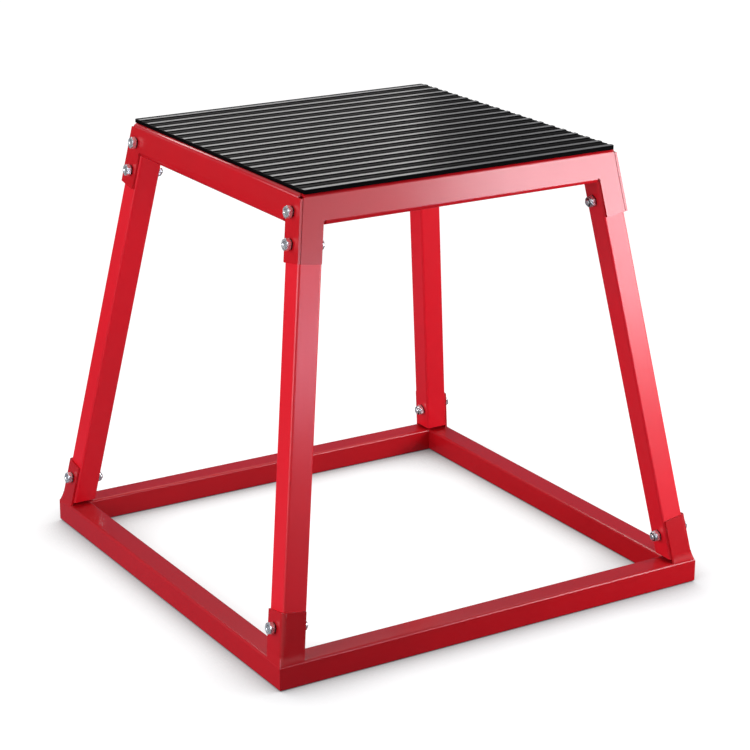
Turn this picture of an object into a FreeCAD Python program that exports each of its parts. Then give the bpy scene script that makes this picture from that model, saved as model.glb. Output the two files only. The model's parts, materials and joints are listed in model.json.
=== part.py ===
import FreeCAD, Part
import math
import os

# A steel jump box, in millimetres: +X to the right along the front, +Y to the back, +Z up.
# The origin is on the floor at the middle of the base ring.

# Overall sizes
base_width = 584.0       # outside of the square base ring
box_height = 541.0       # floor to the crest of the mat's ribs
pan_width = 425.0        # outside of the top pan along X, at its top plane
pan_depth = 412.0        # outside of the top pan along Y, at its top plane

# Square tube of the legs and the base ring
tube = 30.0
tube_wall = 1.5
tube_radius = 3.0        # outside of the tube's long edges

# Folded sheet of the top pan and the base brackets
sheet = 3.0
fold_inside = 2.0        # inside of the pan's folds
skirt_height = 37.0      # pan top down to the underside of the returned lip
lip_flat = 4.2           # flat of the returned lip, past its fold
lip_clearance = 0.5      # lip's end to the leg beside it
corner_seam = 0.8        # open seam between neighbouring skirts
ear_length = 36.5        # skirt's underside down to the ears' outer tip
ear_radius = 1.5         # ears' lower inner corner
window_radius = 3.0      # between the ears' inner edge and the skirt
flange_short = 2.5       # edge of an ear or bracket flange to the leg's inner face
bracket_height = 58.0    # base rail's top up to the bracket's corner
bracket_clearance = 0.5  # bracket's inside fold tighter than the leg's edge by this
foot_setback = 1.5       # bracket's face in from the base rail's face

# Legs
leg_foot_gap = 4.0       # base rail's top up to the leg's lower end
leg_head_gap = 0.5       # leg's upper end down from the pan's fold

# Rubber mat with wide ribs and a fine rib between each two
mat_inset = 4.0          # mat's left and right edges in from the pan's faces
mat_overhang = 2.5       # mat's front and back edges out past the pan's faces
mat_base = 4.0           # mat below its ribs
mat_corner = 3.0
rib_pitch = 23.5
rib_height = 1.0
rib_crest = 6.0
rib_slope = 0.5          # run of each flank of a wide rib
rib_margin = 1.0         # mat's front edge to the foot of the first rib
fine_rib_height = 0.4
fine_rib_crest = 2.0
fine_rib_slope = 0.4

# Hex bolts
bolt_size = 8.0
bolt_standout = 2.0      # bolt's end past the nut
bolt_tip = 1.0           # chamfer at the bolt's end
across_flats = 13.0
head_height = 5.3
hex_chamfer = 0.7
dish_rim = 2.3           # head's flat to the shallow hollow in its face
dish_depth = 0.8
hole_clearance = 0.5     # between bolt and sheet or tube, on the radius
skirt_bolt_drop = 22.0   # pan top down to the bolts through the skirt
ear_bolt_edge = 17.0     # ears' outer tip up to the bolts through the ears
base_bolt_edge = 22.0    # bracket's corner down to the bolts through the brackets

# Spring washer under each bolt's head
spring_width = 12.7
spring_thickness = 2.0
spring_slit = 1.0
washer_clearance = 0.2   # between bolt and washer, on the radius

# Lock nuts: a hexagon, and a round collar that holds a nylon ring
nut_height = 8.0
nut_hex_height = 5.8
collar_step = 0.5        # hexagon's flat in to the collar
collar_wall = 0.8
collar_chamfer = 0.5
insert_depth = 2.0       # collar's rim down to the nylon ring's seat
insert_drop = 0.3        # collar's rim down to the nylon ring
thread_clearance = 0.1   # between bolt, nut and nylon ring, on the radius

# Places that follow from those sizes; pairs are for the X and the Y direction
pan_top = box_height - mat_base - rib_height
skirt_bottom = pan_top - skirt_height
ear_tip = skirt_bottom - ear_length
bracket_tip = tube + bracket_height
pan_half = [pan_width / 2, pan_depth / 2]
lean = [(base_width / 2 - foot_setback - half) / (pan_top - tube) for half in pan_half]
tilt = [math.atan(slope) for slope in lean]
stretch = [math.hypot(1.0, slope) for slope in lean]
sheet_level = [sheet * ratio for ratio in stretch]    # the sheet's thickness along a level line
tube_level = [tube * ratio for ratio in stretch]      # a leg's width along a level line
flange_width = [thin + wide - flange_short for thin, wide in zip(sheet_level, tube_level)]
tube_bore_radius = max(tube_radius - tube_wall, 0)
fold_radius = fold_inside + sheet
mat_width = pan_width - 2 * mat_inset
mat_depth = pan_depth + 2 * mat_overhang
bolt_length = spring_thickness + sheet + tube + nut_height + bolt_standout
collar_width = across_flats - 2 * collar_step
pocket_width = collar_width - 2 * collar_wall
thread_bore = bolt_size + 2 * thread_clearance
ear_levels = [pan_top - skirt_bolt_drop, ear_tip + ear_bolt_edge]
base_level = bracket_tip - base_bolt_edge

X = FreeCAD.Vector(1, 0, 0)
Y = FreeCAD.Vector(0, 1, 0)
Z = FreeCAD.Vector(0, 0, 1)
ORIGIN = FreeCAD.Vector(0, 0, 0)

corners = {
    "front_left": (-1, -1),
    "front_right": (1, -1),
    "back_left": (-1, 1),
    "back_right": (1, 1),
}
side_turns = {"front": 0, "right": 90, "back": 180, "left": 270}


def outer(axis, z):
    """Half width of the box along an axis at height z, at the outer faces of its folded sheet."""
    return pan_half[axis] + lean[axis] * (pan_top - z)


def leg_middle(axis, z):
    """Distance of a leg's middle from the box's middle along an axis, at height z."""
    return outer(axis, z) - sheet_level[axis] - tube_level[axis] / 2


def at_corner(corner, distance, z):
    """Point at one corner, where distance(axis, z) gives how far out it is along each axis."""
    return FreeCAD.Vector(corner[0] * distance(0, z), corner[1] * distance(1, z), z)


def up_the_lean(corner, rise):
    """Run of a corner's leaning direction over a given rise."""
    return FreeCAD.Vector(-corner[0] * lean[0], -corner[1] * lean[1], 1) * rise


def turned(shape, degrees):
    """Copy of a shape, turned about the box's vertical axis."""
    copy = shape.copy()
    copy.rotate(ORIGIN, Z, degrees)
    return copy


def rounded_face(outline):
    """Flat face inside a closed outline of (point, corner radius) pairs."""
    spans = []
    arcs = []
    for i, (point, radius) in enumerate(outline):
        back = (outline[i - 1][0] - point).normalize()
        ahead = (outline[(i + 1) % len(outline)][0] - point).normalize()
        half_angle = back.getAngle(ahead) / 2
        setback = radius / math.tan(half_angle)
        inwards = (back + ahead).normalize()
        middle = point + inwards * (radius / math.sin(half_angle) - radius)
        spans.append((point + back * setback, point + ahead * setback))
        if radius > 0:
            arcs.append(Part.Arc(spans[i][0], middle, spans[i][1]).toShape())
    lines = []
    for i, span in enumerate(spans):
        start = spans[i - 1][1]
        if (span[0] - start).Length > 1e-6:
            lines.append(Part.LineSegment(start, span[0]).toShape())
    edges = Part.sortEdges(lines + arcs)[0]
    return Part.Face(Part.Wire(edges))


def rectangle_face(middle, directions, sides, radius):
    """Rectangle with rounded corners, in the plane of two directions."""
    along, across = [way * (side / 2) for way, side in zip(directions, sides)]
    signs = [(-1, -1), (1, -1), (1, 1), (-1, 1)]
    return rounded_face([(middle + along * a + across * b, radius) for a, b in signs])


def tube_face(middle, directions, sides, walls):
    """Section of a square tube."""
    inner_sides = [side - 2 * wall for side, wall in zip(sides, walls)]
    bore = rectangle_face(middle, directions, inner_sides, tube_bore_radius)
    return rectangle_face(middle, directions, sides, tube_radius).cut(bore)


def bolt_place(corner, z):
    """Placement on the outer side face at height z, with +Z along the face's outward normal."""
    point = FreeCAD.Vector(corner[0] * outer(0, z), corner[1] * leg_middle(1, z), z)
    return FreeCAD.Placement(point, FreeCAD.Rotation(Y, corner[0] * (90 - math.degrees(tilt[0]))))


def bolt_holes(corner, levels):
    """Drills for the bolts of one corner, through the sheet and both walls of the leg."""
    radius = bolt_size / 2 + hole_clearance
    depth = sheet + tube
    drills = []
    for z in levels:
        drill = Part.makeCylinder(radius, 3 * depth, Z * (-2 * depth))
        drill.Placement = bolt_place(corner, z)
        drills.append(drill)
    return drills


# Base ring

def base_rail():
    """Front rail of the ring, mitred at both ends."""
    half = base_width / 2
    start = FreeCAD.Vector(-half, -half + tube / 2, tube / 2)
    bar = tube_face(start, [Y, Z], [tube, tube], [tube_wall, tube_wall]).extrude(X * base_width)
    wedge = Part.makePolygon([ORIGIN, (X - Y) * base_width, (X + Y) * -base_width, ORIGIN])
    return bar.common(Part.Face(wedge).extrude(Z * tube))


def base_bracket(corner):
    """Angle bracket on one corner of the ring, leaning with the leg and cut square to it."""
    foot = at_corner(corner, outer, tube)
    long_x, long_y = X * (-corner[0] * flange_width[0]), Y * (-corner[1] * flange_width[1])
    thin_x, thin_y = X * (-corner[0] * sheet_level[0]), Y * (-corner[1] * sheet_level[1])
    inside = max(tube_radius - bracket_clearance, 0)
    angle = rounded_face([
        (foot, inside + sheet),
        (foot + long_x, 0),
        (foot + long_x + thin_y, 0),
        (foot + thin_x + thin_y, inside),
        (foot + thin_x + long_y, 0),
        (foot + long_y, 0),
    ])
    reach = max(flange_width)
    blank = angle.extrude(up_the_lean(corner, bracket_height + reach))
    tip = foot + up_the_lean(corner, bracket_height)
    trim = Part.makeCylinder(3 * reach, 3 * reach, tip, up_the_lean(corner, 1))
    return blank.cut(trim).cut(bolt_holes(corner, [base_level]))


# Legs

leg_bottom = tube + leg_foot_gap
leg_top = pan_top - fold_radius - leg_head_gap


def leg(corner):
    """Leaning tube with level ends, drilled for its three bolts."""
    foot = at_corner(corner, leg_middle, leg_bottom)
    walls = [tube_wall * ratio for ratio in stretch]
    bar = tube_face(foot, [X, Y], tube_level, walls).extrude(up_the_lean(corner, leg_top - leg_bottom))
    return bar.cut(bolt_holes(corner, ear_levels + [base_level]))


# Top pan: each side is built as the front one, for the axis it faces out along, and then turned

top_setback = [fold_radius * math.tan((math.pi / 2 - angle) / 2) for angle in tilt]
lip_setback = [fold_radius * math.tan((math.pi / 2 + angle) / 2) for angle in tilt]
deck_half = [half - setback for half, setback in zip(pan_half, top_setback)]


def skirt_web(out, inset, z_end):
    """Flat of a skirt with its two ears; its ends stop at an inset from the box's corners."""
    along = 1 - out
    z_start = pan_top - top_setback[out] * math.cos(tilt[out])
    drop = lean[along] / (1 + lean[0] ** 2 + lean[1] ** 2)

    def ear_point(from_corner):
        z = ear_tip - from_corner * drop
        return outer(along, z) - from_corner, z

    half = [
        (outer(along, z_start) - inset, z_start, 0),
        (*ear_point(inset), 0),
        (*ear_point(flange_width[along]), ear_radius),
        (outer(along, z_end) - flange_width[along], z_end, window_radius),
    ]
    mirrored = [(-x, z, radius) for x, z, radius in reversed(half)]
    outline = [(FreeCAD.Vector(x, -outer(out, z), z), radius) for x, z, radius in half + mirrored]
    inwards = FreeCAD.Vector(0, 1, -lean[out]).normalize()
    return rounded_face(outline).extrude(inwards * sheet)


def fold(depth, z, angle_from, angle_to, length):
    """Bent strip along the front, about a fold line at a distance to the front and a height."""
    def at(radius, angle):
        return FreeCAD.Vector(0, -depth - radius * math.cos(angle), z + radius * math.sin(angle))

    angles = (angle_from, (angle_from + angle_to) / 2, angle_to)
    inside = [at(fold_inside, angle) for angle in angles]
    outside = [at(fold_radius, angle) for angle in angles]
    edges = [
        Part.Arc(*outside).toShape(),
        Part.LineSegment(outside[2], inside[2]).toShape(),
        Part.Arc(*inside).toShape(),
        Part.LineSegment(inside[0], outside[0]).toShape(),
    ]
    strip = Part.Face(Part.Wire(Part.sortEdges(edges)[0]))
    strip.translate(X * (-length / 2))
    return strip.extrude(X * length)


def skirt(out, inset):
    """One side of the pan: upper fold, web with ears, lower fold and returned lip."""
    along = 1 - out
    z_end = skirt_bottom + lip_setback[out] * math.cos(tilt[out])
    leg_inside = outer(along, z_end) - sheet_level[along] - tube_level[along]
    lip_length = 2 * (leg_inside - lip_clearance)
    lip_depth = outer(out, skirt_bottom) - lip_setback[out]
    lip_corner = FreeCAD.Vector(-lip_length / 2, -lip_depth, skirt_bottom)
    return [
        fold(deck_half[out], pan_top - fold_radius, math.pi / 2, tilt[out], 2 * deck_half[along]),
        skirt_web(out, inset, z_end),
        fold(lip_depth, skirt_bottom + fold_radius, tilt[out], -math.pi / 2, lip_length),
        Part.makeBox(lip_length, lip_flat, sheet, lip_corner),
    ]


def top_pan():
    """Deck with four skirts; the left and right skirts lap the ends of the other two."""
    deck_corner = FreeCAD.Vector(-deck_half[0], -deck_half[1], pan_top - sheet)
    deck = Part.makeBox(2 * deck_half[0], 2 * deck_half[1], sheet, deck_corner)
    lapping = skirt(0, 0)
    butted = skirt(1, sheet_level[0] + corner_seam)
    skirts = {"front": butted, "right": lapping, "back": butted, "left": lapping}
    sides = []
    for side, turn in side_turns.items():
        sides += [turned(piece, turn) for piece in skirts[side]]
    pan = deck.multiFuse(sides).removeSplitter()
    for corner in corners.values():
        pan = pan.cut(bolt_holes(corner, ear_levels))
    return pan


# Rubber mat

def rubber_mat():
    """Ribbed sheet: its profile along the depth is drawn once and run across the width."""
    half = mat_depth / 2
    land = pan_top + mat_base
    rib_half = rib_crest / 2 + rib_slope
    first_rib = rib_margin + rib_half
    count = int((mat_depth - first_rib - rib_half) // rib_pitch) + 1
    ribs = []
    for i in range(count):
        middle = -half + first_rib + i * rib_pitch
        ribs.append((middle, rib_crest / 2, rib_slope, rib_height))
        if i + 1 < count:
            ribs.append((middle + rib_pitch / 2, fine_rib_crest / 2, fine_rib_slope, fine_rib_height))
    profile = [(-half, pan_top), (-half, land)]
    for middle, crest, flank, height in ribs:
        profile += [(middle - crest - flank, land), (middle - crest, land + height)]
        profile += [(middle + crest, land + height), (middle + crest + flank, land)]
    profile += [(half, land), (half, pan_top), (-half, pan_top)]
    points = [FreeCAD.Vector(-mat_width / 2, y, z) for y, z in profile]
    ribbed = Part.Face(Part.makePolygon(points)).extrude(X * mat_width)
    blank = rectangle_face(Z * pan_top, [X, Y], [mat_width, mat_depth], mat_corner)
    return ribbed.common(blank.extrude(Z * (mat_base + rib_height)))


# Fasteners, built along +Z from the outer face of the sheet they clamp

def hexagon(height):
    """Hexagonal bar with its corners on the X axis, standing on the XY plane."""
    radius = across_flats / math.sqrt(3)
    turns = [math.radians(60 * i) for i in range(7)]
    points = [FreeCAD.Vector(radius * math.cos(a), radius * math.sin(a), 0) for a in turns]
    return Part.Face(Part.makePolygon(points)).extrude(Z * height)


def chamfered(bar, height):
    """Hexagonal bar with the corners of its upper end turned down."""
    radius = across_flats / math.sqrt(3)
    top = radius - hex_chamfer * math.sqrt(3)
    body = Part.makeCylinder(radius, height - hex_chamfer)
    cap = Part.makeCone(radius, top, hex_chamfer, Z * (height - hex_chamfer))
    return bar.common(body.fuse(cap))


def hex_bolt():
    """Bolt with a dished hexagonal head on its washer and its shank below."""
    radius = bolt_size / 2
    head = chamfered(hexagon(head_height), head_height)
    dish_radius = across_flats / 2 - dish_rim
    dish_floor = Z * (head_height - dish_depth)
    dish = Part.makeCone(dish_radius - dish_depth, dish_radius, dish_depth, dish_floor)
    shank = Part.makeCylinder(radius, bolt_length - bolt_tip, Z * (bolt_tip - bolt_length))
    tip = Part.makeCone(radius - bolt_tip, radius, bolt_tip, Z * -bolt_length)
    bolt = head.cut(dish).fuse([shank, tip]).removeSplitter()
    bolt.translate(Z * spring_thickness)
    return bolt


def ring(width, bore, bottom, top):
    """Round ring about the bolt's axis, between two heights."""
    hole = Part.makeCylinder(bore / 2, top - bottom, Z * bottom)
    return Part.makeCylinder(width / 2, top - bottom, Z * bottom).cut(hole)


def spring_washer():
    """Split ring pressed flat between the sheet and the bolt's head."""
    corner = FreeCAD.Vector(-spring_slit / 2, -spring_width, 0)
    slit = Part.makeBox(spring_slit, spring_width, spring_thickness, corner)
    return ring(spring_width, bolt_size + 2 * washer_clearance, 0, spring_thickness).cut(slit)


def on_inner_face(piece):
    """Turn a piece that stands on the XY plane over, onto the leg's inner face below it."""
    piece.rotate(ORIGIN, X, 180)
    piece.translate(Z * -(sheet + tube))
    return piece


def lock_nut():
    """Hexagon with a round collar, bored for the bolt and hollowed for the nylon ring."""
    radius = collar_width / 2
    collar = Part.makeCylinder(radius, nut_height - collar_chamfer)
    rim_level = Z * (nut_height - collar_chamfer)
    rim = Part.makeCone(radius, radius - collar_chamfer, collar_chamfer, rim_level)
    body = chamfered(hexagon(nut_hex_height), nut_hex_height).fuse([collar, rim]).removeSplitter()
    pocket = Part.makeCylinder(pocket_width / 2, insert_depth, Z * (nut_height - insert_depth))
    bore = Part.makeCylinder(thread_bore / 2, nut_height)
    return on_inner_face(body.cut([pocket, bore]))


def nut_insert():
    """Nylon ring seated in the nut's collar, round the bolt's thread."""
    width = pocket_width - 2 * thread_clearance
    return on_inner_face(ring(width, thread_bore, nut_height - insert_depth, nut_height - insert_drop))


def placed_at(piece, z):
    """One copy of a fastener at each corner, at height z."""
    copies = []
    for corner in corners.values():
        copy = piece.copy()
        copy.Placement = bolt_place(corner, z).multiply(copy.Placement)
        copies.append(copy)
    return Part.makeCompound(copies)


# All nodes

nodes = {"rubber_mat": rubber_mat(), "top_pan": top_pan()}
for name, corner in corners.items():
    nodes["leg_" + name] = leg(corner)
    nodes["base_bracket_" + name] = base_bracket(corner)
for side, turn in side_turns.items():
    nodes["base_rail_" + side] = turned(base_rail(), turn)
rows = {"skirt": ear_levels[0], "ear": ear_levels[1], "base": base_level}
for row, z in rows.items():
    nodes[row + "_bolts"] = placed_at(hex_bolt(), z)
    nodes[row + "_spring_washers"] = placed_at(spring_washer(), z)
    nodes[row + "_nuts"] = placed_at(lock_nut(), z)
    nodes[row + "_nut_inserts"] = placed_at(nut_insert(), z)

os.makedirs("parts", exist_ok=True)
for name, shape in nodes.items():
    shape.exportStep("parts/" + name + ".step")
    heights = f"z {shape.BoundBox.ZMin:.2f} to {shape.BoundBox.ZMax:.2f} mm"
    volume = f"{len(shape.Solids)} solids of {shape.Volume / 1000:.2f} cm3 in all"
    print(f"{name}: {volume}, {heights}, valid {shape.isValid()}")
angles = " and ".join(f"{math.degrees(angle):.2f}" for angle in tilt)
print(f"legs lean {angles} degrees, bolts {bolt_length:.1f} mm long, {len(nodes)} nodes")
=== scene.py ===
# %% [markdown]
# # A steel plyo box
# Athletes jump on and off this box: four splayed legs of square tube stand on a ring of the same
# tube, and carry a folded steel pan with a ribbed rubber mat. The solids come from the packed
# model, already in metres and in their places, so this lesson adds the camera, the finishes, the
# welds and the light. Nothing of the frame is moved.

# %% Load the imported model
import json
import math

import bmesh
import bpy
from mathutils import Matrix, Vector, noise
from mathutils.geometry import interpolate_bezier


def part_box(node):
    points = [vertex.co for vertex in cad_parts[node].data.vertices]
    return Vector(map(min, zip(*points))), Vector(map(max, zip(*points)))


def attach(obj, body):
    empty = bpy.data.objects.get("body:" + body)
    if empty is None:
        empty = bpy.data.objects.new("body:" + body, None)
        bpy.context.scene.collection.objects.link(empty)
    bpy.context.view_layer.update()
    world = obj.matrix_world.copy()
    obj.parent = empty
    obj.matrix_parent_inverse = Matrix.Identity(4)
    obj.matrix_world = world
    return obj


MM = 0.001
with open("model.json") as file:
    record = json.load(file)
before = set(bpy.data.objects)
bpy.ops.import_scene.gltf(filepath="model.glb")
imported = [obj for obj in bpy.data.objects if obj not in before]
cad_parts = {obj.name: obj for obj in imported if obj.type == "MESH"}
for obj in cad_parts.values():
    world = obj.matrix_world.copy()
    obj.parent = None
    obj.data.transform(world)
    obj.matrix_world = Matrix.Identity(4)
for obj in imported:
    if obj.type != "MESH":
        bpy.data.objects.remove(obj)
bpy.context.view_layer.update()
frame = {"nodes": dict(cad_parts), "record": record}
nodes = frame["nodes"]
slot_of = {part["node"]: part["material_slot"] for part in frame["record"]["subparts"]}

# %% [markdown]
# ## Camera
# The box is seen from the front left and a little above, through a long lens, so its lines run
# nearly parallel. The place, lens and shift were found by lining up the edges of the ring, legs
# and mat with the photograph. The shift only centres the frame, and the small roll is the tilt
# of the camera on its tripod.

# %% Set up the camera
IMAGE_PIXELS = 750
SENSOR_MM = 36.0
view_azimuth = math.radians(-31.615)
view_height = math.radians(18.398)
view_roll = math.radians(0.210)
view_distance = 2857.84 * MM
aim_sideways = 4.13 * MM
aim_height = 255.19 * MM
focal_pixels = 2317.79
frame_middle = (371.54, 358.34)

turn = Matrix.Rotation(view_azimuth, 4, "Z") @ Matrix.Rotation(math.pi / 2 - view_height, 4, "X")
place = turn @ Vector((aim_sideways, 0, view_distance)) + Vector((0, 0, aim_height))
camera_data = bpy.data.cameras.new("photo_camera")
camera_data.sensor_width = SENSOR_MM
camera_data.lens = focal_pixels * SENSOR_MM / IMAGE_PIXELS
camera_data.shift_x = 0.5 - frame_middle[0] / IMAGE_PIXELS
camera_data.shift_y = frame_middle[1] / IMAGE_PIXELS - 0.5
camera = bpy.data.objects.new("photo_camera", camera_data)
camera.matrix_world = Matrix.Translation(place) @ turn @ Matrix.Rotation(view_roll, 4, "Z")
scene = bpy.context.scene
scene.collection.objects.link(camera)
scene.camera = camera
print("camera at", [round(v, 3) for v in place], "m, lens", round(camera_data.lens, 1), "mm")

# %% [markdown]
# ## Tools for the finishes
# A finish is a small graph of nodes. Colours are written as sRGB hex, as a paint chart gives
# them, and turned to linear light for the shader. One function adds a node with its settings
# and links, which keeps every graph readable as a list. Patterns are drawn in the object's own
# coordinates, which are metres here, so a pattern's scale is one over its real size.

# %% Colour and node tools
MIX_BY, MIX_FROM, MIX_TO, MIXED = 0, 6, 7, 2    # sockets of a Mix node that carries colours


def linear(hex_colour):
    """Linear RGBA of an sRGB hex colour."""
    values = [int(hex_colour[i:i + 2], 16) / 255 for i in (1, 3, 5)]
    return [v / 12.92 if v <= 0.04045 else ((v + 0.055) / 1.055) ** 2.4 for v in values] + [1.0]


def add(tree, kind, inputs=None, **settings):
    """Add a node with its settings; inputs are values, or outputs of other nodes to link."""
    node = tree.nodes.new("ShaderNode" + kind)
    for name, value in settings.items():
        setattr(node, name, value)
    for name, value in (inputs or {}).items():
        if isinstance(value, bpy.types.NodeSocket):
            tree.links.new(value, node.inputs[name])
        else:
            node.inputs[name].default_value = value
    return node


def per_metre(size_mm):
    """Scale of a pattern whose repeat is size_mm, in coordinates of metres."""
    return 1 / (size_mm * MM)


def new_finish(name):
    """New material, with its node tree and its shader."""
    material = bpy.data.materials.new(name)
    material.use_nodes = True
    return material, material.node_tree, material.node_tree.nodes["Principled BSDF"]


print("a repeat of 4 mm has the scale", per_metre(4))

# %% [markdown]
# ## Gloss powder coat
# The steel is sprayed with dry red powder and baked. The coat is a pigmented film without a
# clear layer, so its colour is deep and its gloss is that of plastic. The eye sees a faint
# orange peel where the film flowed, and slow changes of shade where it lies thicker. A plain
# red shader would give sharp, dead reflections, so two noises bend and soften them. The legs
# were coated in a separate batch, a lighter red with a softer gloss. The base is given a
# slightly darker red than the pan, a painted shade for the low parts near the floor, where less
# light reaches. One function makes all three.

# %% Red paint
SHADE_DRIFT_MM = 70
ORANGE_PEEL_MM = 5      # about 2 mm on a real coat, drawn coarser so that it shows at this distance
ORANGE_PEEL_HEIGHT = 0.02 * MM
POWDER_IOR = 1.5
FULL_GLOSS = (0.18, 0.24)       # roughness of a thin and of a thick film
SOFT_GLOSS = (0.26, 0.32)


def powder_coat(name, thin, thick, gloss):
    """Baked red powder on steel, between the shades and gloss of a thin and a thick film."""
    material, tree, shader = new_finish(name)
    spot = add(tree, "TexCoord").outputs["Object"]
    drift = add(tree, "TexNoise", {"Vector": spot, "Scale": per_metre(SHADE_DRIFT_MM), "Detail": 3.0})
    shade = add(tree, "Mix", {MIX_BY: drift.outputs["Fac"], MIX_FROM: linear(thin),
                              MIX_TO: linear(thick)}, data_type="RGBA")
    peel = add(tree, "TexNoise", {"Vector": spot, "Scale": per_metre(ORANGE_PEEL_MM), "Detail": 1.0})
    skin = add(tree, "Bump", {"Height": peel.outputs["Fac"], "Distance": ORANGE_PEEL_HEIGHT})
    roughness = add(tree, "MapRange", {"Value": drift.outputs["Fac"], "To Min": gloss[0],
                                       "To Max": gloss[1]})
    tree.links.new(shade.outputs[MIXED], shader.inputs["Base Color"])
    tree.links.new(roughness.outputs["Result"], shader.inputs["Roughness"])
    tree.links.new(skin.outputs["Normal"], shader.inputs["Normal"])
    shader.inputs["IOR"].default_value = POWDER_IOR
    return material


pan_coat = powder_coat("gloss_powder_coat_on_top_pan", "#D61520", "#C8121C", FULL_GLOSS)
# the base's darker red is a painted shade for the parts near the floor
base_coat_with_painted_shade = powder_coat("gloss_powder_coat_on_base_with_painted_shade", "#CC141E", "#BF111B", FULL_GLOSS)
leg_coat = powder_coat("gloss_powder_coat_on_leg_tube", "#F41427", "#E61223", SOFT_GLOSS)
print("made", pan_coat.name, base_coat_with_painted_shade.name, leg_coat.name)

# %% [markdown]
# ## Bright zinc plating
# The bolts, washers and nuts come plated with a thin bright layer of zinc, which guards the
# steel from rust. It mirrors the room in a soft, slightly cool grey, and fine crystals break up
# the reflection. With handling, patches of it dull to a pale bloom that scatters light more than
# it mirrors. One noise drives shade, gloss and bloom together. The nooks round washers and bolt
# ends get a painted shade: ambient occlusion finds them and darkens the colour there.

# %% Zinc plating
ZINC_BRIGHT = "#FAFAF8"
ZINC_DULL = "#E8E9E8"
# painted shade: the dark colour laid in the nooks round washers and bolt ends
ZINC_NOOK_PAINTED_SHADE = "#241E1D"
ZINC_ROUGHNESS = (0.18, 0.34)   # of bright and of dull plating
ZINC_METALLIC = (0.9, 0.55)     # lower where bloom covers the metal
NOOK_REACH = 3 * MM
NOOK_OPENNESS = (0.7, 0.98)     # the painted shade is full at the first and gone at the second
AO_SAMPLES = 8
STAIN_MM = 4
CRYSTAL_MM = 0.9        # a tenth of that on real plating, drawn coarser so that it shows
CRYSTAL_HEIGHT = 0.01 * MM

zinc_plating, tree, shader = new_finish("bright_zinc_plating_on_steel")
spot = add(tree, "TexCoord").outputs["Object"]
stain = add(tree, "TexNoise", {"Vector": spot, "Scale": per_metre(STAIN_MM), "Detail": 2.0})
shade = add(tree, "Mix", {MIX_BY: stain.outputs["Fac"], MIX_FROM: linear(ZINC_BRIGHT),
                          MIX_TO: linear(ZINC_DULL)}, data_type="RGBA")
crystal = add(tree, "TexNoise", {"Vector": spot, "Scale": per_metre(CRYSTAL_MM), "Detail": 2.0})
skin = add(tree, "Bump", {"Height": crystal.outputs["Fac"], "Distance": CRYSTAL_HEIGHT})
roughness = add(tree, "MapRange", {"Value": stain.outputs["Fac"], "To Min": ZINC_ROUGHNESS[0],
                                   "To Max": ZINC_ROUGHNESS[1]})
# ambient occlusion finds the nooks, where the colour turns to the painted shade
nook = add(tree, "AmbientOcclusion", {"Distance": NOOK_REACH}, samples=AO_SAMPLES)
unshaded = add(tree, "MapRange", {"Value": nook.outputs["AO"], "From Min": NOOK_OPENNESS[0],
                               "From Max": NOOK_OPENNESS[1]})
stained_and_shaded = add(tree, "Mix", {MIX_BY: unshaded.outputs["Result"], MIX_FROM: linear(ZINC_NOOK_PAINTED_SHADE),
                         MIX_TO: shade.outputs[MIXED]}, data_type="RGBA")
bloom = add(tree, "MapRange", {"Value": stain.outputs["Fac"], "To Min": ZINC_METALLIC[0],
                               "To Max": ZINC_METALLIC[1]})
tree.links.new(stained_and_shaded.outputs[MIXED], shader.inputs["Base Color"])
tree.links.new(roughness.outputs["Result"], shader.inputs["Roughness"])
tree.links.new(skin.outputs["Normal"], shader.inputs["Normal"])
tree.links.new(bloom.outputs["Result"], shader.inputs["Metallic"])
print("made", zinc_plating.name)

# %% [markdown]
# ## Moulded rubber
# The mat is black rubber pressed in a ribbed mould. The lands between the ribs took the dull
# texture of the mould and hold a little dust, so they stay nearly black. The crests get polished
# by hands and shoes, so at a low angle they mirror the light as grey lines. The polish is a coat
# over the rubber, on the crests alone, and the crests are also coloured a lighter grey, a painted
# sheen that brightens those lines. The height of a point tells crest from land, so one material
# makes both.

# %% Rubber of the mat
RUBBER_LAND = "#070606"
# painted sheen: the crests' grey colour stands in for their gloss
CREST_PAINTED_SHEEN = "#464647"
RUBBER_DUST = "#0F0D0E"
RUBBER_ROUGHNESS = (0.45, 0.34)     # of lands and of crests
RUBBER_IOR = 1.52
RUBBER_SPECULAR = 0.005             # the mould's fine texture leaves the lands almost no gloss
CREST_POLISH = 0.45
POLISH_ROUGHNESS = 0.34
GRAIN_MM = 1.6          # about 0.4 mm on real rubber, drawn coarser so that it shows
GRAIN_HEIGHT = 0.05 * MM
GRAIN_STRENGTH = (0.6, 0.1)         # on lands and on crests
DUST_MM = 35
RIB_HEIGHT = 1.0 * MM
mat_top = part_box("rubber_mat")[1].z
crest_foot = mat_top - 0.6 * RIB_HEIGHT
crest_edge = mat_top - 0.1 * RIB_HEIGHT

moulded_rubber, tree, shader = new_finish("moulded_black_rubber")
spot = add(tree, "TexCoord").outputs["Object"]
height = add(tree, "SeparateXYZ", {"Vector": spot}).outputs["Z"]
crest = add(tree, "MapRange", {"Value": height, "From Min": crest_foot,
                               "From Max": crest_edge}).outputs["Result"]
dust = add(tree, "TexNoise", {"Vector": spot, "Scale": per_metre(DUST_MM), "Detail": 4.0})
land = add(tree, "Mix", {MIX_BY: dust.outputs["Fac"], MIX_FROM: linear(RUBBER_LAND),
                         MIX_TO: linear(RUBBER_DUST)}, data_type="RGBA")
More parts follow.
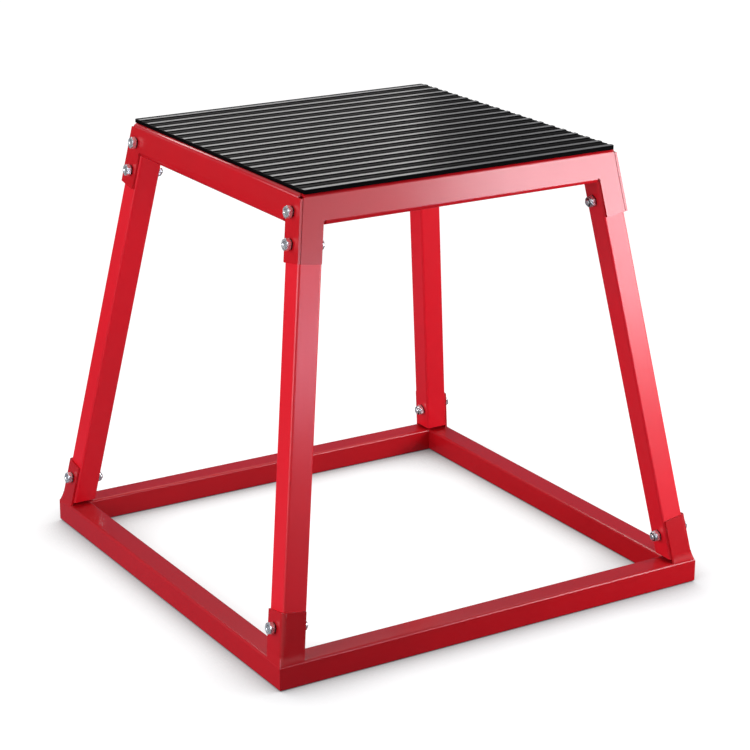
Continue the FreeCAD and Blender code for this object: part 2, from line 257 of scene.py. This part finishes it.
# the crests take the grey of the painted sheen
shade = add(tree, "Mix", {MIX_BY: crest, MIX_FROM: land.outputs[MIXED],
                          MIX_TO: linear(CREST_PAINTED_SHEEN)}, data_type="RGBA")
roughness = add(tree, "MapRange", {"Value": crest, "To Min": RUBBER_ROUGHNESS[0],
                                   "To Max": RUBBER_ROUGHNESS[1]})
grain = add(tree, "TexNoise", {"Vector": spot, "Scale": per_metre(GRAIN_MM), "Detail": 2.0})
depth = add(tree, "MapRange", {"Value": crest, "To Min": GRAIN_STRENGTH[0],
                               "To Max": GRAIN_STRENGTH[1]})
skin = add(tree, "Bump", {"Strength": depth.outputs["Result"], "Height": grain.outputs["Fac"],
                          "Distance": GRAIN_HEIGHT})
polish = add(tree, "MapRange", {"Value": crest, "To Max": CREST_POLISH})
tree.links.new(shade.outputs[MIXED], shader.inputs["Base Color"])
tree.links.new(roughness.outputs["Result"], shader.inputs["Roughness"])
tree.links.new(skin.outputs["Normal"], shader.inputs["Normal"])
tree.links.new(polish.outputs["Result"], shader.inputs["Coat Weight"])
shader.inputs["Coat Roughness"].default_value = POLISH_ROUGHNESS
shader.inputs["IOR"].default_value = RUBBER_IOR
shader.inputs["Specular IOR Level"].default_value = RUBBER_SPECULAR
print("made", moulded_rubber.name, "with crests above", round(crest_edge, 4), "m")

# %% [markdown]
# ## Black nylon
# A ring of black nylon in each lock nut's collar grips the thread. It is moulded and unpainted:
# dark and dull, a little paler where the thread has rubbed it.

# %% Nylon rings
NYLON_BLACK = "#19191A"
NYLON_RUBBED = "#343436"
NYLON_ROUGHNESS = 0.5
RUB_MM = 1.5

moulded_nylon, tree, shader = new_finish("moulded_black_nylon")
spot = add(tree, "TexCoord").outputs["Object"]
rubbed = add(tree, "TexNoise", {"Vector": spot, "Scale": per_metre(RUB_MM), "Detail": 2.0})
shade = add(tree, "Mix", {MIX_BY: rubbed.outputs["Fac"], MIX_FROM: linear(NYLON_BLACK),
                          MIX_TO: linear(NYLON_RUBBED)}, data_type="RGBA")
tree.links.new(shade.outputs[MIXED], shader.inputs["Base Color"])
shader.inputs["Roughness"].default_value = NYLON_ROUGHNESS
print("made", moulded_nylon.name)

# %% [markdown]
# ## Put the finishes on
# The record says which nodes are plated, rubber or nylon. The painted ones take the coat that
# the first word of their name picks. Cut sheet and tumbled fasteners have no razor edges
# either: a small bevel gives each edge the thin line of light that tells the eye how thick the
# metal is.

# %% Finishes and softened edges
finish_of = {"zinc_plate": zinc_plating, "mat_rubber": moulded_rubber, "nylon_ring": moulded_nylon}
coat_of = {"top": pan_coat, "base": base_coat_with_painted_shade, "leg": leg_coat}
EDGE_MM = {"top_pan": 0.5, "base_bracket": 0.5, "bolts": 0.3, "nuts": 0.3, "washers": 0.2}
SHARP_ANGLE = math.radians(50)
SAME_POINT = 0.01 * MM
EDGE_STEPS = 2


def soften_edges(piece, radius):
    """Round off a solid's sharp edges, after joining its faces along their shared corners."""
    join = piece.modifiers.new("joined_faces", "WELD")
    join.merge_threshold = SAME_POINT
    soften = piece.modifiers.new("softened_edges", "BEVEL")
    soften.width = radius
    soften.segments = EDGE_STEPS
    soften.angle_limit = SHARP_ANGLE
    soften.harden_normals = True


for name, piece in nodes.items():
    for holder in piece.material_slots:
        holder.material = finish_of.get(slot_of[name]) or coat_of[name.split("_")[0]]
    for word, radius in EDGE_MM.items():
        if word in name:
            soften_edges(piece, radius * MM)
            break
print("finishes on", len(nodes), "nodes")

# %% [markdown]
# ## Welds at the brackets
# Each corner bracket is welded to the ring along the foot of its two outer faces and round its
# corner, ground down and painted over, so the two faces run into one another. The weld could be
# a plain round bead, but a ground one shows no edge, so its section is swept along the seam. The
# first step is the seam: along one flange, round the fold and along the other flange.

# %% Seam at a bracket's foot
FLANGE = 30.9 * MM          # bracket's corner to the ends of its flanges
FOLD = 5.5 * MM             # outside of the bracket's fold
SKIN = 0.03 * MM            # weld's edges in under the paint
FLANGE_STEPS = 60
FOLD_STEPS = 16
rail_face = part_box("base_rail_front")[1].x - SKIN


def seam_points(foot, sign_x, sign_y):
    """Points along a bracket's foot, each with its outward way and its point on the rail's face."""
    points = []
    for i in range(FLANGE_STEPS + 1):
        run = FLANGE - (FLANGE - FOLD) * i / FLANGE_STEPS
        seam = foot + Vector((-sign_x * run, 0, 0))
        points.append((seam, Vector((0, sign_y, 0)), Vector((seam.x, sign_y * rail_face, 0))))
    middle = foot - Vector((sign_x * FOLD, sign_y * FOLD, 0))
    for i in range(1, FOLD_STEPS):
        angle = math.pi / 2 * i / FOLD_STEPS
        out = Vector((sign_x * math.sin(angle), sign_y * math.cos(angle), 0))
        share = 2 * i / FOLD_STEPS
        edge_x = middle.x + (sign_x * rail_face - middle.x) * min(share, 1)
        edge_y = middle.y + (sign_y * rail_face - middle.y) * min(2 - share, 1)
        points.append((middle + out * FOLD, out, Vector((edge_x, edge_y, 0))))
    for i in range(FLANGE_STEPS + 1):
        run = FOLD + (FLANGE - FOLD) * i / FLANGE_STEPS
        seam = foot + Vector((0, -sign_y * run, 0))
        points.append((seam, Vector((sign_x, 0, 0)), Vector((sign_x * rail_face, seam.y, 0))))
    return points


print("seams follow the rails' faces", round(rail_face, 4), "m from the middle")

# %% [markdown]
# ## Section of a weld
# Across the seam, a curve leaves the bracket in line with its leaning face and runs out flush on
# the upright face of the rail. It swells a little with the frozen ripples of the weld and gets
# shorter at both ends. Two points inside the metal close the section.

# %% Weld's section
WELD_RISE = 10.0 * MM       # up the bracket
WELD_FALL = 6.0 * MM        # down the rail, past its rounded edge
WELD_BULGE = 0.04 * MM
WELD_RIPPLE = 2.4 * MM
RIPPLE_DEPTH = 0.4          # share of the bulge
UNEVEN_DEPTH = 0.3          # share of the bulge
UNEVEN_PER_METRE = 300
WELD_STEPS = 8              # points across the seen face
WELD_CORE = 1.2 * MM        # inner points, hidden in the sheet and the tube's wall
LEAN = 0.16                 # of the bracket's faces
UP = Vector((0, 0, 1))


def weld_section(seam, out, edge, run, taper):
    """Closed section of a weld at a point of its seam, run metres along it."""
    wave = abs(math.sin(math.pi * run / WELD_RIPPLE))
    uneven = noise.noise(seam * UNEVEN_PER_METRE)
    ripple = 1 - RIPPLE_DEPTH + RIPPLE_DEPTH * wave + UNEVEN_DEPTH * uneven
    rise = WELD_RISE * taper
    fall = rise + WELD_FALL
    upper = seam + UP * rise - out * (LEAN * rise + SKIN)
    lower = Vector((edge.x, edge.y, seam.z - WELD_FALL))
    near_upper = upper + out * (LEAN * fall / 3) - UP * (fall / 3)
    near_lower = lower + UP * (fall / 3)
    bulge = out * WELD_BULGE * ripple * taper
    face = interpolate_bezier(upper, near_upper, near_lower, lower, WELD_STEPS)
    section = [point + bulge * math.sin(math.pi * j / (WELD_STEPS - 1)) for j, point in enumerate(face)]
    return section + [seam - UP * (2 * WELD_CORE), seam + UP * WELD_CORE - out * WELD_CORE]


print("a weld covers", round((WELD_RISE + WELD_FALL) / MM, 1), "mm of bracket and rail")

# %% [markdown]
# ## Sweep the four welds
# Faces join each section to the next one. The weld's upper and lower edges stay sharp, because
# shading smoothed across them would draw a bright line where the real weld is ground away.

# %% Welds
TAPER_STEPS = 8             # points at each end over which the weld grows
TAPER_LEAST = 0.35


def weld(name, foot, sign_x, sign_y):
    """Ground weld round one bracket's foot."""
    points = seam_points(foot, sign_x, sign_y)
    mesh = bmesh.new()
    rings = []
    run = 0.0
    for i, (seam, out, edge) in enumerate(points):
        run += (seam - points[max(i - 1, 0)][0]).length
        end = min(1.0, i / TAPER_STEPS, (len(points) - 1 - i) / TAPER_STEPS)
        taper = TAPER_LEAST + (1 - TAPER_LEAST) * math.sqrt(end)
        rings.append([mesh.verts.new(point) for point in weld_section(seam, out, edge, run, taper)])
    for before, after in zip(rings, rings[1:]):
        for j in range(len(before)):
            k = (j + 1) % len(before)
            mesh.faces.new((before[j], before[k], after[k], after[j]))
        for j in (0, WELD_STEPS - 1):
            mesh.edges.get((before[j], after[j])).smooth = False
    mesh.faces.new(rings[0])
    mesh.faces.new(rings[-1])
    bmesh.ops.recalc_face_normals(mesh, faces=mesh.faces)
    data = bpy.data.meshes.new(name)
    mesh.to_mesh(data)
    mesh.free()
    data.materials.append(base_coat_with_painted_shade)
    for face in data.polygons:
        face.use_smooth = True
    bead = bpy.data.objects.new(name, data)
    scene.collection.objects.link(bead)
    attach(bead, "root")
    return bead


welds = []
for corner in ("front_left", "front_right", "back_left", "back_right"):
    low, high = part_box("base_bracket_" + corner)
    sign_x = -1 if "left" in corner else 1
    sign_y = -1 if "front" in corner else 1
    foot = Vector((low.x if sign_x < 0 else high.x, low.y if sign_y < 0 else high.y, low.z))
    welds.append(weld("weld_" + corner, foot, sign_x, sign_y))
print(len(welds), "welds of", len(welds[0].data.vertices), "points each")

# %% [markdown]
# ## White floor
# The box stands on matte white paper. A lit floor alone would come out grey, and more light
# would bleach the paint, so the paper has a glow of its own that only the camera and mirrors
# see. The glow fades close to the rails, where little light gets in, so the contact shade stays.

# %% Paper floor
WHITE = (1, 1, 1, 1)
PAPER_LIT = "#C6C6C6"       # what the paper gives back to the box
PAPER_SEEN = "#808080"      # what its shadows are drawn on, under the glow
FLOOR_GLOW = 1.0
CONTACT_REACH = 120 * MM
CONTACT_POWER = 1.5
FLOOR_DROP = 0.2 * MM
STUDIO_SIZE = 30.0


def seen_directly(tree):
    """Factor that is one for rays of the camera, of mirrors and of glass."""
    rays = add(tree, "LightPath").outputs
    pair = add(tree, "Math", {0: rays["Is Camera Ray"], 1: rays["Is Glossy Ray"]}, operation="ADD")
    return add(tree, "Math", {0: pair.outputs[0], 1: rays["Is Transmission Ray"]},
               operation="ADD", use_clamp=True).outputs[0]


def studio_sheet(name, corners, material):
    """Four-cornered sheet of the studio."""
    data = bpy.data.meshes.new(name)
    data.from_pydata(corners, [], [(0, 1, 2, 3)])
    data.materials.append(material)
    sheet = bpy.data.objects.new(name, data)
    scene.collection.objects.link(sheet)
    return sheet


def level_corners(height):
    """Corners of a level sheet as wide as the studio."""
    half = STUDIO_SIZE / 2
    return [(-half, -half, height), (half, -half, height), (half, half, height), (-half, half, height)]


paper, tree, shader = new_finish("matte_white_paper")
paper_shade = add(tree, "Mix", {MIX_BY: seen_directly(tree), MIX_FROM: linear(PAPER_LIT),
                                MIX_TO: linear(PAPER_SEEN)}, data_type="RGBA")
openness = add(tree, "AmbientOcclusion", {"Distance": CONTACT_REACH}, samples=AO_SAMPLES)
shade = add(tree, "Math", {0: openness.outputs["AO"], 1: CONTACT_POWER}, operation="POWER")
white = add(tree, "Math", {0: shade.outputs[0], 1: FLOOR_GLOW}, operation="MULTIPLY")
glow = add(tree, "Math", {0: white.outputs[0], 1: seen_directly(tree)}, operation="MULTIPLY")
tree.links.new(paper_shade.outputs[MIXED], shader.inputs["Base Color"])
tree.links.new(glow.outputs[0], shader.inputs["Emission Strength"])
shader.inputs["Emission Color"].default_value = WHITE
shader.inputs["Roughness"].default_value = 1.0
shader.inputs["Specular IOR Level"].default_value = 0.0
floor = studio_sheet("studio_floor", level_corners(-FLOOR_DROP), paper)
print(floor.name, "lies", FLOOR_DROP / MM, "mm below the rails")

# %% [markdown]
# ## Studio room
# The world is what the camera and the gloss see of the room: white along the horizon, higher up
# in front than behind, then cool grey walls, and a bright ceiling. As a light it is simpler: it
# grows brighter towards the backdrop behind the box.

# %% World
WALLS = "#646A7C"
OVERHEAD = "#E8E8EC"
OVERHEAD_FROM, OVERHEAD_TO = 0.55, 0.8         # heights where the bright ceiling begins, as sines
SWEEP_BEHIND, SWEEP_IN_FRONT = -0.06, 0.24     # heights of the white sweep's end, as sines
SWEEP_TURN = 0.2                               # half the band in which one becomes the other
SWEEP_FADE = 0.09
BACKDROP_LIGHT = 1.22
LEAST_LIGHT = 0.03

world = bpy.data.worlds.new("studio")
world.use_nodes = True
scene.world = world
tree = world.node_tree
way = add(tree, "SeparateXYZ", {"Vector": add(tree, "TexCoord").outputs["Generated"]})
sweep_end = add(tree, "MapRange", {"Value": way.outputs["Y"], "From Min": -SWEEP_TURN,
                                   "From Max": SWEEP_TURN, "To Min": SWEEP_IN_FRONT,
                                   "To Max": SWEEP_BEHIND})
above = add(tree, "Math", {0: way.outputs["Z"], 1: sweep_end.outputs["Result"]}, operation="SUBTRACT")
rise = add(tree, "MapRange", {"Value": above.outputs[0], "From Max": SWEEP_FADE},
           interpolation_type="SMOOTHSTEP")
sweep = add(tree, "Mix", {MIX_BY: rise.outputs["Result"], MIX_FROM: WHITE, MIX_TO: linear(WALLS)},
            data_type="RGBA")
overhead = add(tree, "MapRange", {"Value": way.outputs["Z"], "From Min": OVERHEAD_FROM,
                                  "From Max": OVERHEAD_TO}, interpolation_type="SMOOTHSTEP")
room = add(tree, "Mix", {MIX_BY: overhead.outputs["Result"], MIX_FROM: sweep.outputs[MIXED],
                         MIX_TO: linear(OVERHEAD)}, data_type="RGBA")
seen = add(tree, "Background", {"Color": room.outputs[MIXED]})
backdrop = add(tree, "MapRange", {"Value": way.outputs["Y"], "To Min": LEAST_LIGHT,
                                  "To Max": BACKDROP_LIGHT})
light = add(tree, "Background", {"Color": WHITE, "Strength": backdrop.outputs["Result"]})
both = add(tree, "MixShader", {0: seen_directly(tree), 1: light.outputs[0], 2: seen.outputs[0]})
tree.links.new(both.outputs[0], tree.nodes["World Output"].inputs["Surface"])
print("world", world.name, "has", len(tree.nodes), "nodes")

# %% [markdown]
# ## Softboxes and strips
# A softbox at the front right glows in the front faces, strongest on the right, with a low strip
# for the near leg and a wide, weak diffuser behind them. Another at the left lights the left
# faces, and one far off at the back left fills in. Two strips behind the box shine along the
# mat's ribs, the right one weaker, so the crests fade towards the right. A lamp's radiance is
# how bright it looks beside white paper, so a lamp can change size and keep its look.

# %% Lamps
COOL_WHITE = (0.94, 0.97, 1.08)
FRONT_WHITE = (0.96, 0.97, 1.05)
STRIP_BLUE = (0.86, 0.92, 1.2)
WARM_WHITE = (1, 0.98, 0.95)


def softbox(name, place, aim, size, radiance, colour=COOL_WHITE):
    """Rectangular lamp facing a point; its radiance is its brightness against white paper."""
    data = bpy.data.lights.new(name, "AREA")
    data.shape = "RECTANGLE"
    data.size, data.size_y = size
    data.color = colour
    data.energy = radiance * math.pi * size[0] * size[1]
    lamp = bpy.data.objects.new(name, data)
    lamp.location = place
    lamp.rotation_euler = (Vector(aim) - Vector(place)).to_track_quat("-Z", "Y").to_euler()
    lamp.visible_camera = False
    scene.collection.objects.link(lamp)


softbox("softbox_front_right", place=(1.03, -1.04, 0.49), aim=(0.15, -0.25, 0.45), size=(0.9, 0.45),
        radiance=10.6, colour=FRONT_WHITE)
softbox("strip_front", place=(0.47, -1.42, 0.33), aim=(-0.2, -0.25, 0.36), size=(0.4, 0.13),
        radiance=9.0, colour=STRIP_BLUE)
softbox("diffuser_front_right", place=(1.4, -1.5, 0.6), aim=(0.15, -0.25, 0.4), size=(1.9, 1.1),
        radiance=0.7)
softbox("softbox_left", place=(-1.9, -0.3, 0.75), aim=(-0.2, 0, 0.3), size=(1.1, 0.9), radiance=6.0)
softbox("softbox_back_left", place=(-4.0, 2.2, 1.3), aim=(-0.2, 0, 0.3), size=(1.6, 1.6), radiance=3.5)
softbox("strip_behind", place=(0.07, 0.5, 0.76), aim=(0, 0, 0.54), size=(0.64, 0.28),
        radiance=4.2, colour=WARM_WHITE)
softbox("strip_behind_right", place=(0.59, 0.5, 0.76), aim=(0.1, 0, 0.54), size=(0.4, 0.28),
        radiance=1.4, colour=WARM_WHITE)
print(len(bpy.data.lights), "lamps")

# %% [markdown]
# ## Dark card and flag
# White paper would also mirror in the gloss and wash out the red, so dark cards lie round such
# an object in a studio. Here one covers the floor for reflections alone. Its glow is painted
# light of its own: lighter towards the back left and darker away from the box, with a painted
# spill of light far off at the front right. A small flag in front holds back the light at the
# foot of the near corner.

# %% Card and flag
CARD_BLACK = "#080808"
CARD_GLOW = "#A8B4CC"
BACK_LEFT = (-0.7, 0.7, 0)
BACK_LEFT_SPAN = (-0.3, 0.5)        # metres along that way
BACK_LEFT_LEVEL = (0.04, 0.34)
CLOSE_SPAN = (0.5, 1.3)             # metres from the middle of the box
CLOSE_LEVEL = (1.0, 0.15)
FRONT_RIGHT = (0.5, -0.85, 0)
PAINTED_SPILL_SPAN = (1.0, 1.4)             # metres along that way
PAINTED_SPILL_LEVEL = 0.5
FLAG_LEFT, FLAG_RIGHT = -0.3, 0.25
FLAG_LOW, FLAG_HIGH = 0.13, 0.3
FLAG_FRONT = -0.7


def hide_from(piece, *rays):
    """Make a piece of the studio invisible to some kinds of ray."""
    for kind in rays:
        setattr(piece, "visible_" + kind, False)


# the card is no lamp: its glow is painted light, seen only in reflections
card_grey, tree, shader = new_finish("dark_studio_card")
spot = add(tree, "TexCoord").outputs["Object"]
back_left = add(tree, "VectorMath", {0: spot, 1: BACK_LEFT}, operation="DOT_PRODUCT")
level = add(tree, "MapRange", {"Value": back_left.outputs["Value"], "From Min": BACK_LEFT_SPAN[0],
                               "From Max": BACK_LEFT_SPAN[1], "To Min": BACK_LEFT_LEVEL[0],
                               "To Max": BACK_LEFT_LEVEL[1]})
away = add(tree, "VectorMath", {0: spot}, operation="LENGTH")
close_by = add(tree, "MapRange", {"Value": away.outputs["Value"], "From Min": CLOSE_SPAN[0],
                                  "From Max": CLOSE_SPAN[1], "To Min": CLOSE_LEVEL[0],
                                  "To Max": CLOSE_LEVEL[1]})
shaded = add(tree, "Math", {0: level.outputs["Result"], 1: close_by.outputs["Result"]},
             operation="MULTIPLY")
# painted spill: the card glows brighter far off at the front right
front_right = add(tree, "VectorMath", {0: spot, 1: FRONT_RIGHT}, operation="DOT_PRODUCT")
painted_spill = add(tree, "MapRange", {"Value": front_right.outputs["Value"], "From Min": PAINTED_SPILL_SPAN[0],
                               "From Max": PAINTED_SPILL_SPAN[1], "To Max": PAINTED_SPILL_LEVEL})
strength = add(tree, "Math", {0: shaded.outputs[0], 1: painted_spill.outputs["Result"]}, operation="ADD")
tree.links.new(strength.outputs[0], shader.inputs["Emission Strength"])
shader.inputs["Emission Color"].default_value = linear(CARD_GLOW)
shader.inputs["Base Color"].default_value = linear(CARD_BLACK)
shader.inputs["Roughness"].default_value = 1.0
shader.inputs["Specular IOR Level"].default_value = 0.0
card = studio_sheet("studio_dark_card", level_corners(-FLOOR_DROP / 2), card_grey)
hide_from(card, "camera", "diffuse", "shadow", "transmission")

flag_corners = [(FLAG_LEFT, FLAG_FRONT, FLAG_LOW), (FLAG_RIGHT, FLAG_FRONT, FLAG_LOW),
                (FLAG_RIGHT, FLAG_FRONT, FLAG_HIGH), (FLAG_LEFT, FLAG_FRONT, FLAG_HIGH)]
flag = studio_sheet("studio_flag", flag_corners, card_grey)
hide_from(flag, "camera", "diffuse", "glossy", "transmission")
print("laid", card.name, "and put up", flag.name)

# %% [markdown]
# ## Colour view
# The render shows its colours through the plain Standard view transform.

# %% Colour view
scene.view_settings.view_transform = "Standard"
